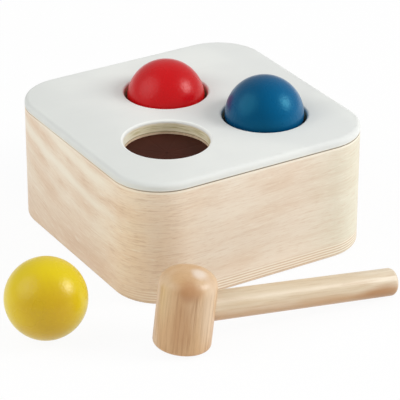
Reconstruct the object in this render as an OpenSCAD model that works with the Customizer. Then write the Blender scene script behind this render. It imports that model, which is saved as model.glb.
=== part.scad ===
// Ball pounding bench for small children: a square wooden box with a painted
// top plate, three ball holes with rubber grip rings under them, a sloping floor
// that returns a struck ball through the back wall, three balls and a hammer.

/* [Balls] */
// Diameter of each ball
ball_d = 45; // [40:0.5:50]
// Depth of the red ball's centre under the plate's top face
red_sink = 4.2; // [0.5:0.1:6]
// Depth of the blue ball's centre under the plate's top face
blue_sink = 0.1; // [0:0.1:6]

/* [Ball holes] */
// Gap between a ball and the side of its hole
hole_play = 1.75; // [1:0.05:3]
// Rounding of the rim of each hole
hole_rim_r = 1.3; // [0.5:0.1:2]
// Wood between two neighbouring ring pockets
pocket_gap = 7; // [5:0.5:20]
// Wood between a ring pocket and the edge of its board
pocket_wall = 1.7; // [1:0.1:10]

/* [Top plate] */
// Thickness of the plate where its edge shows
plate_edge_t = 4.6; // [4:0.1:10]
// Depth of the step that drops inside the walls
plate_step = 2.5; // [1:0.1:5]
// Rounding of the plate's upper edge
plate_edge_r = 2.5; // [1:0.1:3]

/* [Grip rings] */
// Thickness of a grip ring at its rim
ring_t = 3; // [2:0.1:5]
// Width of the rim that sits in the pocket
ring_seat = 4.25; // [3:0.05:8]
// Thickness of the petals that close the hole
petal_t = 1.2; // [0.8:0.1:1.6]
// Uncut rubber between the hole's side and the petals
petal_root = 0.8; // [0.4:0.1:1]
// Number of petals in a ring
petal_count = 8; // [6:1:12]
// Width of the slits between the flat petals
slit_w = 0.2; // [0.1:0.05:0.4]
// Distance of the petals' blunt tips from the middle of the ring
petal_tip_r = 0.9; // [0.8:0.1:3]

/* [Boards under the plate] */
// Wood left above each ring in the ring board
ring_web = 1.4; // [1:0.1:3]
// Thickness of the board that holds the rings from below
retainer_t = 3; // [2:0.1:6]

/* [Walls] */
// Thickness of the walls
wall_t = 15; // [13:0.5:22]
// Radius of the box's upright corners
corner_r = 29; // [15:0.5:32]
// Rounding of the box's lower edge
foot_r = 2.2; // [1:0.1:3.5]
// Rounding of the two edges that meet at the plate's seam
seam_r = 0.5; // [0.3:0.1:0.8]

/* [Floor] */
// Thickness of the base panel
base_t = 4; // [3:0.1:8]
// Thickness of the sloping board
ramp_t = 3; // [2:0.1:6]
// Height that the sloping board gains from back to front
ramp_rise = 7; // [4:0.1:12]
// Air over a ball at the top of the slope
roll_gap = 0.6; // [0.3:0.1:8]
// Width of each rail under the sloping board
rail_w = 8; // [5:0.5:12]
// Height of a rail's thin end
rail_tip = 1; // [0.5:0.1:2]

/* [Outlet] */
// Air beside a ball that rolls past the corner posts
lane_gap = 0.5; // [0.3:0.1:1.5]
// Air over a ball in the outlet
outlet_head = 4; // [2:0.5:6]
// Radius of the outlet's upper corners
outlet_r = 12; // [6:0.5:16]
// Rounding of the outlet's outer edge
outlet_edge_r = 2; // [1:0.1:3]

/* [Screws] */
// Diameter of a screw's shank
screw_d = 2.6; // [2:0.1:3]
// Diameter of a screw's head
screw_head_d = 5.2; // [4.6:0.1:5.6]
// Length of a screw that holds the boards to the plate
plate_screw_l = 11; // [9:0.5:12]
// Length of a screw that holds the base panel to a post
base_screw_l = 18; // [12:0.5:30]
// Width of the cross slot in a screw's head
cross_w = 0.7; // [0.5:0.1:1]

/* [Hammer head] */
// Diameter of the head
head_d = 31.5; // [28:0.5:40]
// Height of the handle's axis over the flat striking face
head_low = 20.4; // [18:0.1:30]
// Height of the straight side over the handle's axis
head_high = 14.1; // [12:0.1:25]
// Radius of the dome's crown
crown_r = 24; // [20:0.5:30]
// Radius between the crown and the straight side
shoulder_r = 8; // [5:0.5:10]
// Rounding around the striking face
face_r = 2.3; // [1:0.1:3]

/* [Hammer handle] */
// Diameter of the handle at the head
handle_d = 16.2; // [14:0.1:18]
// Diameter of the handle at its free end
handle_end_d = 15.4; // [13:0.1:18]
// Length from the head's axis to the handle's free end
handle_reach = 127.6; // [100:0.5:180]
// Rounding of the free end
handle_end_r = 2.6; // [1:0.1:4]
// How far the blind socket goes past the head's axis
socket_past = 8; // [3:0.5:9]

/* [Layout on the table] */
// From the box's left wall to the yellow ball's centre
yellow_left = 53.5; // [30:0.5:80]
// From the box's centre line to the yellow ball's centre
yellow_front = 69.4; // [0:0.1:90]
// From the box's front wall to the hammer head's axis
hammer_front = 39; // [36:0.5:80]
// From the box's centre line to the hammer head's axis
hammer_left = 73.1; // [0:0.1:80]

/* [Hidden] */
// Which way the handle points, turned from the box's front wall
hammer_turn = -5;
// Clearance of a glued board in its opening
board_fit = 0.2;
// Clearance of a glued peg or a driven screw in its hole
pin_fit = 0.05;
// Depth of a screw's head under the face that it is driven into
screw_sink = 0.2;
// Air between the rubber petals and the ball that they grip
grip_gap = 0.1;
// Overrun of every cut past the face it leaves
over = 1;
// Height of a screw's head, as a share of its diameter
screw_head_share = 0.3;
// Depth of the cross slot, as a share of the head's height
cross_depth_share = 0.7;
// Length of the cross slot, as a share of the head's diameter
cross_length_share = 0.6;
// Places of the plate's screws, as shares of half the inside width
plate_screw_shares = [[-0.74, 0.8], [0.74, 0.8], [-0.86, 0.2], [0.86, 0.2], [0, -0.8], [0, -0.147]];
// Places of the side rails, as shares of half the inside width
rail_shares = [-0.64, 0, 0.64];
// Smoothness of every round surface
$fn = 96;

// Sizes that follow from the ball
ball_r = ball_d / 2;
hole_r = ball_r + hole_play;
ring_r = hole_r + ring_seat;
pocket_r = ring_r + pin_fit;
petal_r = hole_r - petal_root;

// Holes stand at the corners of an equilateral triangle
hole_x = pocket_r + pocket_gap / 2;
hole_y = hole_x * sqrt(3) / 2;
red_place = [0, hole_y];
blue_place = [hole_x, -hole_y];
yellow_hole_place = [-hole_x, -hole_y];
hole_places = [red_place, blue_place, yellow_hole_place];

// The box follows from the holes
board_w = 2 * (hole_x + pocket_r + pocket_wall);
inside_w = board_w + 2 * board_fit;
box_w = inside_w + 2 * wall_t;
inside_h = inside_w / 2;
box_h = box_w / 2;

// Heights, from the table up
ramp_low = base_t + ramp_t;
ramp_high = ramp_low + ramp_rise;
retainer_z = ramp_high + roll_gap + ball_d;
ring_board_z = retainer_z + retainer_t;
ring_board_t = ring_t + ring_web;
step_z = ring_board_z + ring_board_t;
seam_z = step_z + plate_step;
top_z = seam_z + plate_edge_t;
ring_top = ring_board_z + ring_t;

// Balls in their holes
red_z = top_z - red_sink;
blue_z = top_z - blue_sink;

// Corner posts stand just clear of the rolling balls
lane_x = hole_x + ball_r + lane_gap;
post_w = inside_h - lane_x;
post_c = inside_h - post_w / 2;
outlet_top = ramp_low + ball_d + outlet_head;

// Screws
screw_r = screw_d / 2;
screw_head_r = screw_head_d / 2;
screw_head_h = screw_head_d * screw_head_share;
screw_tip_h = screw_r;

// Hammer: it lies on the rim of its striking face and on the handle's end
head_r = head_d / 2;
handle_r = handle_d / 2;
handle_end_rad = handle_end_d / 2;
lie_run = (handle_reach - handle_end_r) - (head_r - face_r);
lie_drop = (head_low - face_r) - (handle_end_rad - handle_end_r);
lie_angle = atan2(lie_drop, lie_run) + asin((face_r - handle_end_r) / norm([lie_run, lie_drop]));
hammer_z = (head_r - face_r) * sin(lie_angle) + (head_low - face_r) * cos(lie_angle) + face_r;

// How far a ball at a height bends the petals down, from their root to a tangent of the ball
function petal_dip(ball_z) =
  asin((ball_r + grip_gap) / norm([petal_r, ball_z - ring_top])) - atan2(ball_z - ring_top, petal_r);

// Half of a slab's outline, from its axis out, with round lower and upper edges
module edge_profile(reach, h, low_r, high_r) {
  difference() {
    square([reach, h]);
    difference() {
      translate([reach - low_r, -over]) square([low_r + over, low_r + over]);
      translate([reach - low_r, low_r]) circle(r = low_r);
    }
    difference() {
      translate([reach - high_r, h - high_r]) square([high_r + over, high_r + over]);
      translate([reach - high_r, h - high_r]) circle(r = high_r);
    }
  }
}

// Straight stretch between two rounded corners of a slab
module slab_stretch(w, h, corner, low_r, high_r) {
  rotate([90, 0, 0]) linear_extrude(w - 2 * corner, center = true) {
    edge_profile(w / 2, h, low_r, high_r);
    mirror([1, 0]) edge_profile(w / 2, h, low_r, high_r);
  }
}

// Square slab with round upright corners and round lower and upper edges
module rounded_slab(w, h, corner, low_r, high_r) {
  at = w / 2 - corner;
  for (x = [-at, at], y = [-at, at])
    translate([x, y, 0]) rotate_extrude() edge_profile(corner, h, low_r, high_r);
  slab_stretch(w, h, corner, low_r, high_r);
  rotate([0, 0, 90]) slab_stretch(w, h, corner, low_r, high_r);
}

// Cut for a ball hole whose upper rim is round
module rim_cut(r, rim, bottom, top) {
  translate([0, 0, bottom - over]) cylinder(r = r, h = top - bottom + 2 * over);
  rotate_extrude() difference() {
    translate([0, top - rim]) square([r + rim, rim + over]);
    translate([r + rim, top - rim]) circle(r = rim);
  }
}

// A screw pointing up from its head's flat face, and the hole it needs
module screw(length) {
  difference() {
    union() {
      cylinder(r1 = screw_head_r, r2 = screw_r, h = screw_head_h);
      cylinder(r = screw_r, h = length - screw_tip_h);
      translate([0, 0, length - screw_tip_h]) cylinder(r1 = screw_r, r2 = 0, h = screw_tip_h);
    }
    for (turn = [0, 90]) rotate([0, 0, turn])
      translate([-screw_head_d * cross_length_share / 2, -cross_w / 2, -over])
        cube([screw_head_d * cross_length_share, cross_w, over + screw_head_h * cross_depth_share]);
  }
}

module screw_hole(length) {
  translate([0, 0, -over]) cylinder(r = screw_head_r + pin_fit, h = over);
  cylinder(r1 = screw_head_r + pin_fit, r2 = screw_r + pin_fit, h = screw_head_h);
  cylinder(r = screw_r + pin_fit, h = length + pin_fit);
}

module at_plate_screws() {
  for (share = plate_screw_shares)
    translate([share[0] * inside_h, share[1] * inside_h, retainer_z + screw_sink]) children();
}

module at_base_screws() {
  for (x = [-post_c, post_c], y = [-post_c, post_c]) translate([x, y, screw_sink]) children();
}

module at_holes() {
  for (place = hole_places) translate([place[0], place[1], 0]) children();
}

// Painted plate that closes the box, stepped to drop inside the walls
module top_plate() {
  color("whitesmoke") difference() {
    union() {
      translate([0, 0, seam_z]) rounded_slab(box_w, plate_edge_t, corner_r, seam_r, plate_edge_r);
      translate([-board_w / 2, -board_w / 2, step_z])
        cube([board_w, board_w, plate_step + plate_edge_t / 2]);
    }
    at_holes() rim_cut(hole_r, hole_rim_r, step_z, top_z);
    at_plate_screws() screw_hole(plate_screw_l);
  }
}

// Board under the plate with a pocket for each ring
module ring_board() {
  color("burlywood") difference() {
    translate([-board_w / 2, -board_w / 2, ring_board_z]) cube([board_w, board_w, ring_board_t]);
    at_holes() translate([0, 0, ring_board_z - over])
      cylinder(r = hole_r, h = ring_board_t + 2 * over);
    at_holes() translate([0, 0, ring_board_z - over]) cylinder(r = pocket_r, h = ring_t + over);
    at_plate_screws() screw_hole(plate_screw_l);
  }
}

// Board that keeps the rings from being knocked down out of their pockets
module retainer_board() {
  color("tan") difference() {
    translate([-board_w / 2, -board_w / 2, retainer_z]) cube([board_w, board_w, retainer_t]);
    at_holes() translate([0, 0, retainer_z - over])
      cylinder(r = hole_r, h = retainer_t + 2 * over);
    at_plate_screws() screw_hole(plate_screw_l);
  }
}

// Gap between two petals, widest at their tips when a ball bends them down
module petal_slit(dip) {
  deepest = petal_r * sin(dip) + petal_t + over;
  opening = tan(dip / 2) * tan(180 / petal_count);
  rotate([90, 0, 90]) linear_extrude(petal_r) polygon([
    [-slit_w / 2, over],
    [-slit_w / 2, 0],
    [-slit_w / 2 - deepest * opening, -deepest],
    [slit_w / 2 + deepest * opening, -deepest],
    [slit_w / 2, 0],
    [slit_w / 2, over]
  ]);
}

// Rubber ring: a thick rim, and petals that slope down from it by an angle
module grip_ring(place, dip) {
  reach = petal_r - petal_tip_r;
  color("saddlebrown") translate([place[0], place[1], ring_top]) difference() {
    rotate_extrude() {
      translate([hole_r, -ring_t]) square([ring_seat, ring_t]);
      translate([petal_r, -petal_t]) square([petal_root, petal_t]);
      translate([petal_r, 0]) rotate(dip) translate([-reach, -petal_t]) square([reach, petal_t]);
    }
    for (turn = [1 : petal_count]) rotate([0, 0, turn * 360 / petal_count]) petal_slit(dip);
  }
}

module grip_ring_red() grip_ring(red_place, petal_dip(red_z));
module grip_ring_blue() grip_ring(blue_place, petal_dip(blue_z));
module grip_ring_yellow() grip_ring(yellow_hole_place, 0);

// Quarter of the walls, mitred along the box's diagonals
module mitred_wall(turn) {
  intersection() {
    difference() {
      rounded_slab(box_w, seam_z, corner_r, foot_r, seam_r);
      translate([-inside_h, -inside_h, -over]) cube([inside_w, inside_w, seam_z + 2 * over]);
    }
    rotate([0, 0, turn]) translate([0, 0, -over]) linear_extrude(seam_z + 2 * over)
      polygon([[0, 0], [-box_w, -box_w], [box_w, -box_w]]);
  }
}

module wall_front() color("wheat") mitred_wall(0);
module wall_left() color("wheat") mitred_wall(-90);
module wall_right() color("wheat") mitred_wall(90);

// Outline of the outlet: level with the ramp's low end, round at the top
module outlet_outline() {
  translate([-lane_x, ramp_low]) square([2 * lane_x, outlet_top - outlet_r - ramp_low]);
  translate([outlet_r - lane_x, ramp_low])
    square([2 * (lane_x - outlet_r), outlet_top - ramp_low]);
  for (side = [-1, 1])
    translate([side * (lane_x - outlet_r), outlet_top - outlet_r]) circle(r = outlet_r);
}

// What a round edge takes off a corner at the origin, with the wood right and below
module edge_cut() {
  difference() {
    translate([-over, -outlet_edge_r]) square([outlet_edge_r + over, outlet_edge_r + over]);
    translate([outlet_edge_r, -outlet_edge_r]) circle(r = outlet_edge_r);
  }
}

// Rounding round the outlet, drawn flat with the outer face at height zero
module outlet_edge_cuts() {
  bend_y = outlet_top - outlet_r;
  for (side = [0, 1]) mirror([side, 0, 0]) {
    translate([lane_x, bend_y, 0]) rotate([90, 0, 0])
      linear_extrude(bend_y - ramp_low) edge_cut();
    translate([lane_x - outlet_r, bend_y, 0])
      rotate_extrude(angle = 90) translate([outlet_r, 0]) edge_cut();
  }
  translate([lane_x - outlet_r, outlet_top, 0]) rotate([90, 0, -90])
    linear_extrude(2 * (lane_x - outlet_r)) mirror([1, 0]) edge_cut();
}

// Back wall, with the slot that lets the balls roll out
module wall_back() {
  color("wheat") difference() {
    mitred_wall(180);
    translate([0, box_h, 0]) rotate([90, 0, 180]) {
      translate([0, 0, -wall_t - over]) linear_extrude(wall_t + 2 * over) outlet_outline();
      outlet_edge_cuts();
    }
  }
}

// Post in a corner of the box, from the base panel up to the retainer
module corner_post(side_x, side_y) {
  color("peru") difference() {
    translate([side_x * post_c, side_y * post_c, (base_t + retainer_z) / 2])
      cube([post_w, post_w, retainer_z - base_t], center = true);
    at_base_screws() screw_hole(base_screw_l);
  }
}

module post_front_left() corner_post(-1, -1);
module post_front_right() corner_post(1, -1);
module post_back_left() corner_post(-1, 1);
module post_back_right() corner_post(1, 1);

// Panel that closes the underside, level with the walls
module base_panel() {
  color("burlywood") difference() {
    translate([-board_w / 2, -board_w / 2, 0]) cube([board_w, board_w, base_t]);
    at_base_screws() screw_hole(base_screw_l);
  }
}

// Sloping board that the struck balls roll down, notched round the posts
module ramp_board() {
  notch = post_w + board_fit;
  color("navajowhite") difference() {
    rotate([90, 0, 90]) linear_extrude(board_w, center = true) polygon([
      [board_w / 2, base_t],
      [board_w / 2, ramp_low],
      [-board_w / 2, ramp_high],
      [-board_w / 2, base_t + ramp_rise]
    ]);
    for (x = [-1, 1], y = [-1, 1])
      translate([x * inside_h - notch, y * inside_h - notch, 0])
        cube([2 * notch, 2 * notch, ramp_high + over]);
  }
}

// Wedge that carries the sloping board
module ramp_rail(share) {
  front = -board_w / 2;
  tip = board_w / 2 - board_w * rail_tip / ramp_rise;
  color("peru") translate([share * inside_h, 0, 0]) rotate([90, 0, 90])
    linear_extrude(rail_w, center = true) polygon([
      [front, base_t],
      [tip, base_t],
      [tip, base_t + rail_tip],
      [front, base_t + ramp_rise]
    ]);
}

module ramp_rail_left() ramp_rail(rail_shares[0]);
module ramp_rail_mid() ramp_rail(rail_shares[1]);
module ramp_rail_right() ramp_rail(rail_shares[2]);

module plate_screws() color("silver") at_plate_screws() screw(plate_screw_l);
module base_screws() color("silver") at_base_screws() screw(base_screw_l);

module ball_red()
  color("crimson") translate([red_place[0], red_place[1], red_z]) sphere(r = ball_r);

module ball_blue()
  color("steelblue") translate([blue_place[0], blue_place[1], blue_z]) sphere(r = ball_r);

module ball_yellow()
  color("gold") translate([-box_h - yellow_left, -yellow_front, ball_r]) sphere(r = ball_r);

// Puts a piece drawn about the head's axis, handle along X, on the table
module hammer_pose() {
  translate([-hammer_left, -box_h - hammer_front, hammer_z])
    rotate([0, 0, hammer_turn]) rotate([0, lie_angle, 0]) children();
}

// Outline of the head: flat striking face below, straight side, domed top
module head_profile() {
  knuckle_x = head_r - shoulder_r;
  crown_z = head_high - sqrt(pow(crown_r - shoulder_r, 2) - pow(knuckle_x, 2));
  spread = crown_r / (crown_r - shoulder_r);
  translate([0, -head_low + face_r]) square([head_r, head_low - face_r + head_high]);
  translate([0, -head_low]) square([head_r - face_r, face_r]);
  translate([head_r - face_r, -head_low + face_r]) circle(r = face_r);
  translate([knuckle_x, head_high]) intersection() {
    circle(r = shoulder_r);
    square(shoulder_r);
  }
  intersection() {
    translate([0, crown_z]) circle(r = crown_r);
    translate([0, crown_z]) polygon([
      [0, 0],
      [knuckle_x * spread * 2, (head_high - crown_z) * spread * 2],
      [0, crown_r * 2]
    ]);
  }
}

module hammer_head() {
  color("peru") hammer_pose() difference() {
    rotate_extrude() head_profile();
    rotate([0, 90, 0]) translate([0, 0, -socket_past])
      cylinder(r = handle_r + pin_fit, h = socket_past + head_r + over);
  }
}

// Round handle: straight in the socket, then a slow taper to a round end
module hammer_handle() {
  color("wheat") hammer_pose() rotate([0, 90, 0]) rotate_extrude() {
    translate([0, pin_fit - socket_past]) square([handle_r, socket_past - pin_fit + head_r]);
    difference() {
      polygon([
        [0, head_r],
        [handle_r, head_r],
        [handle_end_rad, handle_reach - handle_end_r],
        [handle_end_rad, handle_reach],
        [0, handle_reach]
      ]);
      difference() {
        translate([handle_end_rad - handle_end_r, handle_reach - handle_end_r])
          square([handle_end_r + over, handle_end_r + over]);
        translate([handle_end_rad - handle_end_r, handle_reach - handle_end_r])
          circle(r = handle_end_r);
      }
    }
  }
}

top_plate();
ring_board();
retainer_board();
grip_ring_red();
grip_ring_blue();
grip_ring_yellow();
wall_front();
wall_back();
wall_left();
wall_right();
post_front_left();
post_front_right();
post_back_left();
post_back_right();
base_panel();
ramp_board();
ramp_rail_left();
ramp_rail_mid();
ramp_rail_right();
plate_screws();
base_screws();
ball_red();
ball_blue();
ball_yellow();
hammer_head();
hammer_handle();
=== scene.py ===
import math

import bmesh
import bpy
from mathutils import Matrix, Vector


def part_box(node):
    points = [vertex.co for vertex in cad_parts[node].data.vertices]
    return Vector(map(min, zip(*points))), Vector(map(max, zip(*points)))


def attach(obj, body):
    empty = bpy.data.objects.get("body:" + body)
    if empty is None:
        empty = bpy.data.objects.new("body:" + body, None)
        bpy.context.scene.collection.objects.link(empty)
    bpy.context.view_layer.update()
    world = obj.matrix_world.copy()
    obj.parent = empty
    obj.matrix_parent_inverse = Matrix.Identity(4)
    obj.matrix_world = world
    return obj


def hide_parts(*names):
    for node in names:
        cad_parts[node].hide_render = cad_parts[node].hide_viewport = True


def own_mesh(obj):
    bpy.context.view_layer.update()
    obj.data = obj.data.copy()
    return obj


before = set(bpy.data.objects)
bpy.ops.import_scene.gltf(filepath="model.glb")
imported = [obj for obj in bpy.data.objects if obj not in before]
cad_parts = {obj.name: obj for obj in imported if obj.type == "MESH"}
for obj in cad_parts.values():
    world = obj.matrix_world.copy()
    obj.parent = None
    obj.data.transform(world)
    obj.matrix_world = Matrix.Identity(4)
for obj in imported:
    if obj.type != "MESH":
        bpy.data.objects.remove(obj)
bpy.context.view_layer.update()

MM = 0.001
TURN = 2 * math.pi

# Camera that took the picture, in millimetres, degrees and picture pixels
CAMERA_TARGET = (0.0, 0.0, 40.0)
CAMERA_DISTANCE = 1330.95
CAMERA_AZIMUTH = -30.98
CAMERA_ELEVATION = 26.5
CAMERA_FOCAL_PX = 2312.59
CAMERA_CENTRE_PX = (190.58, 161.78)
PICTURE_PX = 400
SENSOR_MM = 36.0
CLIP_M = (0.05, 20.0)


# Sizes and places in millimetres, from the frame where it gives them

def high_corner(node):
    """Highest X, Y and Z of a node of the frame, in millimetres."""
    return [round(part / MM, 3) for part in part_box(node)[1]]


def middle_of(node):
    """X and Y of a node's middle, to a hundredth of a millimetre."""
    low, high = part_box(node)
    return [round((low[axis] + high[axis]) / 2 / MM, 2) for axis in (0, 1)]


BOX_HALF = high_corner("wall_right")[0]
SEAM_Z = high_corner("wall_front")[2]
TOP_Z = high_corner("top_plate")[2]
RING_TOP = high_corner("grip_ring_yellow")[2]
BALL_R = high_corner("ball_yellow")[2] / 2
RED_Z = high_corner("ball_red")[2] - BALL_R
BLUE_Z = high_corner("ball_blue")[2] - BALL_R

# The box's round corners, and a wall's length from its middle to its mitre, round the corner
CORNER_R = 29.0
CORNER_AT = BOX_HALF - CORNER_R
MITRE_RUN = CORNER_AT + CORNER_R * math.pi / 4

# Holes by the ball that belongs in them, and the balls' middles
HOLE_R = 24.25
HOLES = {ball: middle_of(f"grip_ring_{ball}") for ball in ("red", "blue", "yellow")}
RED_AT = (*HOLES["red"], RED_Z)
BLUE_AT = (*HOLES["blue"], BLUE_Z)
YELLOW_AT = (*middle_of("ball_yellow"), BALL_R)

# Hammer frame: its head's axis at the handle's height, how far it leans, and its turn
HAMMER_AT = (-73.1, -116.5, 21.88)
HAMMER_LEAN = math.radians(6.4)
HAMMER_TURN = math.radians(-5.0)
HANDLE_ANGLES = (0.0, HAMMER_LEAN, HAMMER_TURN)
HEAD_ANGLES = (0.0, HAMMER_LEAN - math.pi / 2, HAMMER_TURN)


# Colours

def srgb(red, green, blue):
    """Linear colour of an 8-bit screen colour."""
    out = []
    for level in (red, green, blue):
        part = level / 255
        if part <= 0.04045:
            out.append(part / 12.92)
        else:
            out.append(((part + 0.055) / 1.055) ** 2.4)
    return (*out, 1.0)


# Pale, middle, dark and low tones of the left and front walls, which the others share
LEFT_TONES = (srgb(236, 221, 199), srgb(227, 203, 177), srgb(203, 169, 135), srgb(214, 183, 153))
FRONT_TONES = (srgb(238, 224, 205), srgb(232, 213, 191), srgb(209, 178, 148), srgb(224, 200, 176))
# Tan of the front left corner's wood, painted paler as painted light where the lamps reach the corner
# little
CORNER_TAN_AND_LIGHT_TONE = srgb(240, 213, 181)
# Painted light: cool cream at the front right corner, for the cool light that falls there
FAR_CORNER_LIGHT_TONE = srgb(218, 216, 194)
FIBRE_TONE = srgb(245, 237, 222)
VEIN_TONE = srgb(242, 234, 216)
LINE_TONE = srgb(246, 239, 221)
FOOT_TONE = srgb(206, 166, 122)
LIP_TONE = srgb(248, 240, 224)
# Painted shade in the groove of the seam under the plate
SEAM_SHADE_TONE = srgb(134, 124, 106)

# Pale, middle and dark tones of the hammer, and pale and dark tones of the hidden wood
HEAD_TONES = (srgb(222, 192, 156), srgb(208, 170, 126), srgb(164, 116, 72))
HANDLE_TONES = (srgb(228, 214, 190), srgb(218, 200, 172), srgb(188, 154, 114))
BOARD_TONES = (srgb(226, 202, 172), srgb(186, 152, 116))
POST_TONES = (srgb(196, 160, 118), srgb(148, 108, 70))

# The plate's paint, and the bare layered wood in its holes
WHITE_TONES = (srgb(224, 226, 223), srgb(230, 232, 228))
RIPPLE_TONE = srgb(214, 217, 210)
# Painted highlight: whiter paint round each hole's rim
RIM_HIGHLIGHT_TONE = srgb(247, 248, 244)
# Painted shade: greyer white on the left of the plate, away from the key lamp
LEFT_SHADE_WHITE_TONE = srgb(213, 216, 212)
SPECK_TONE = srgb(196, 192, 182)
HOLE_TONES = (srgb(240, 232, 202), srgb(204, 190, 142))
# Painted light: paler wood on the left of a hole's inside, which faces the key lamp
HOLE_LEFT_LIGHT_TONE = srgb(252, 252, 238)
HOLE_MOUTH_TONE = srgb(236, 236, 226)
UPPER_LAYER_TONE = srgb(250, 236, 218)
LOWER_LAYER_TONE = srgb(250, 238, 216)
HOLE_FOOT_TONE = srgb(126, 100, 68)
THIN_WHITE_TONE = srgb(240, 234, 218)
# Painted shade along the plate's edge just over the seam
PLATE_SEAM_SHADE_TONE = srgb(138, 130, 112)

# Balls: tones of full paint, of deep paint and of a nick, and the tint of their gloss
RED_TONES = (srgb(200, 3, 12), srgb(191, 1, 10), srgb(156, 6, 14))
RED_TINT = (1.0, 0.55, 0.55, 1.0)
BLUE_TONES = (srgb(0, 72, 114), srgb(0, 64, 103), srgb(0, 52, 90))
BLUE_TINT = (0.14, 0.80, 1.0, 1.0)
YELLOW_TONES = (srgb(224, 199, 0), srgb(219, 191, 2), srgb(190, 152, 16))
YELLOW_TINT = (1.0, 0.97, 0.72, 1.0)

# Painted light on a ball: the side, its tone and how much of it shows
# Painted light: the blue ball is paler on its side toward the key lamp
BLUE_LIT_SIDE = ((0.55, -0.65, 0.53), srgb(0, 98, 150), 0.60)
# Painted shade: the yellow ball is darker and browner on its side toward the camera, standing in for
# the dark reflection there
YELLOW_SHADED_SIDE = ((-0.511, -0.851, 0.026), srgb(196, 152, 18), 0.80)

RUBBER_TONES = (srgb(60, 27, 17), srgb(65, 30, 20))
RUBBER_DUST_TONE = srgb(80, 46, 35)
ZINC_TONES = (srgb(196, 196, 192), srgb(164, 162, 156))
TABLE_TONES = ((0.90, 0.90, 0.90, 1.0), (0.92, 0.92, 0.92, 1.0))
WHITE = (1.0, 1.0, 1.0, 1.0)

# Stains and painted light and shade on the hammer: place and reach in the piece's own frame in
# millimetres, tone, strength
HEAD_STAINS_AND_LIGHT = (
    ((0.0, -13.0, 8.5), (24.0, 7.0, 7.0), srgb(188, 138, 90), 0.50),
    ((17.5, -12.8, 5.5), (7.0, 9.0, 8.5), srgb(178, 124, 76), 0.70),
    ((-23.0, 0.0, 0.0), (6.0, 30.0, 30.0), srgb(204, 148, 98), 0.55),
    ((8.0, -4.0, 15.0), (18.0, 8.0, 8.0), srgb(212, 186, 142), 0.50),
    # Painted light: a paler stripe down the head's side toward the key lamp
    ((5.0, -15.0, -5.0), (24.0, 6.0, 5.5), srgb(218, 194, 164), 0.50),
    # Painted highlight: pale patches on the dome, beside and on the key lamp's highlight
    ((19.0, -11.5, -7.5), (8.0, 6.0, 6.0), srgb(228, 206, 186), 0.20),
    ((23.2, -5.6, -3.2), (4.5, 5.5, 5.5), srgb(238, 224, 210), 0.72),
)
HANDLE_STAINS_AND_SHADE = (
    # Painted shade: the darker underside of the handle
    ((60.0, -8.0, -5.8), (170.0, 9.0, 8.0), srgb(196, 152, 106), 0.85),
    ((116.0, -7.5, -2.0), (18.0, 7.0, 6.5), srgb(176, 126, 78), 0.85),
    ((38.0, -7.0, 3.0), (24.0, 3.0, 2.6), srgb(212, 182, 140), 0.20),
)


# Materials as expressions

class Signal:
    """A value that a material's nodes make, for use in plain expressions."""

    def __init__(self, paint, socket):
        self.paint = paint
        self.socket = socket

    def maths(self, operation, first, second=None):
        """Adds a Math node."""
        values = {0: first}
        if second is not None:
            values[1] = second
        return self.paint.node("ShaderNodeMath", {"operation": operation}, values)

    def __add__(self, other):
        return self.maths("ADD", self, other)

    def __radd__(self, other):
        return self.maths("ADD", other, self)

    def __sub__(self, other):
        return self.maths("SUBTRACT", self, other)

    def __rsub__(self, other):
        return self.maths("SUBTRACT", other, self)

    def __mul__(self, other):
        return self.maths("MULTIPLY", self, other)

    def __rmul__(self, other):
        return self.maths("MULTIPLY", other, self)

    def __truediv__(self, other):
        return self.maths("DIVIDE", self, other)

    def __rtruediv__(self, other):
        return self.maths("DIVIDE", other, self)

    def __pow__(self, other):
        return self.maths("POWER", self, other)

    def __rpow__(self, other):
        return self.maths("POWER", other, self)

    def sqrt(self):
        return self.maths("SQRT", self)

    def size(self):
        return self.maths("ABSOLUTE", self)

    def sign(self):
        return self.maths("SIGN", self)

    def over(self, other):
        """The larger of the two."""
        return self.maths("MAXIMUM", self, other)

    def under(self, other):
        """The smaller of the two."""
        return self.maths("MINIMUM", self, other)

    def angle(self, other):
        """Angle of the point (other, self)."""
        return self.maths("ARCTAN2", self, other)

    def lines(self):
        """Soft lines from 0 to 1, one for each full turn of this angle."""
        return self.maths("SINE", self) * 0.5 + 0.5

    def step(self, low, high):
        """0 below low, 1 above high, smooth between them; turned round if low is the higher."""
        settings = {"interpolation_type": "SMOOTHSTEP"}
        if low < high:
            values = {"Value": self, "From Min": low, "From Max": high}
            return self.paint.node("ShaderNodeMapRange", settings, values)
        values = {"Value": self, "From Min": high, "From Max": low, "To Min": 1.0, "To Max": 0.0}
        return self.paint.node("ShaderNodeMapRange", settings, values)


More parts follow.
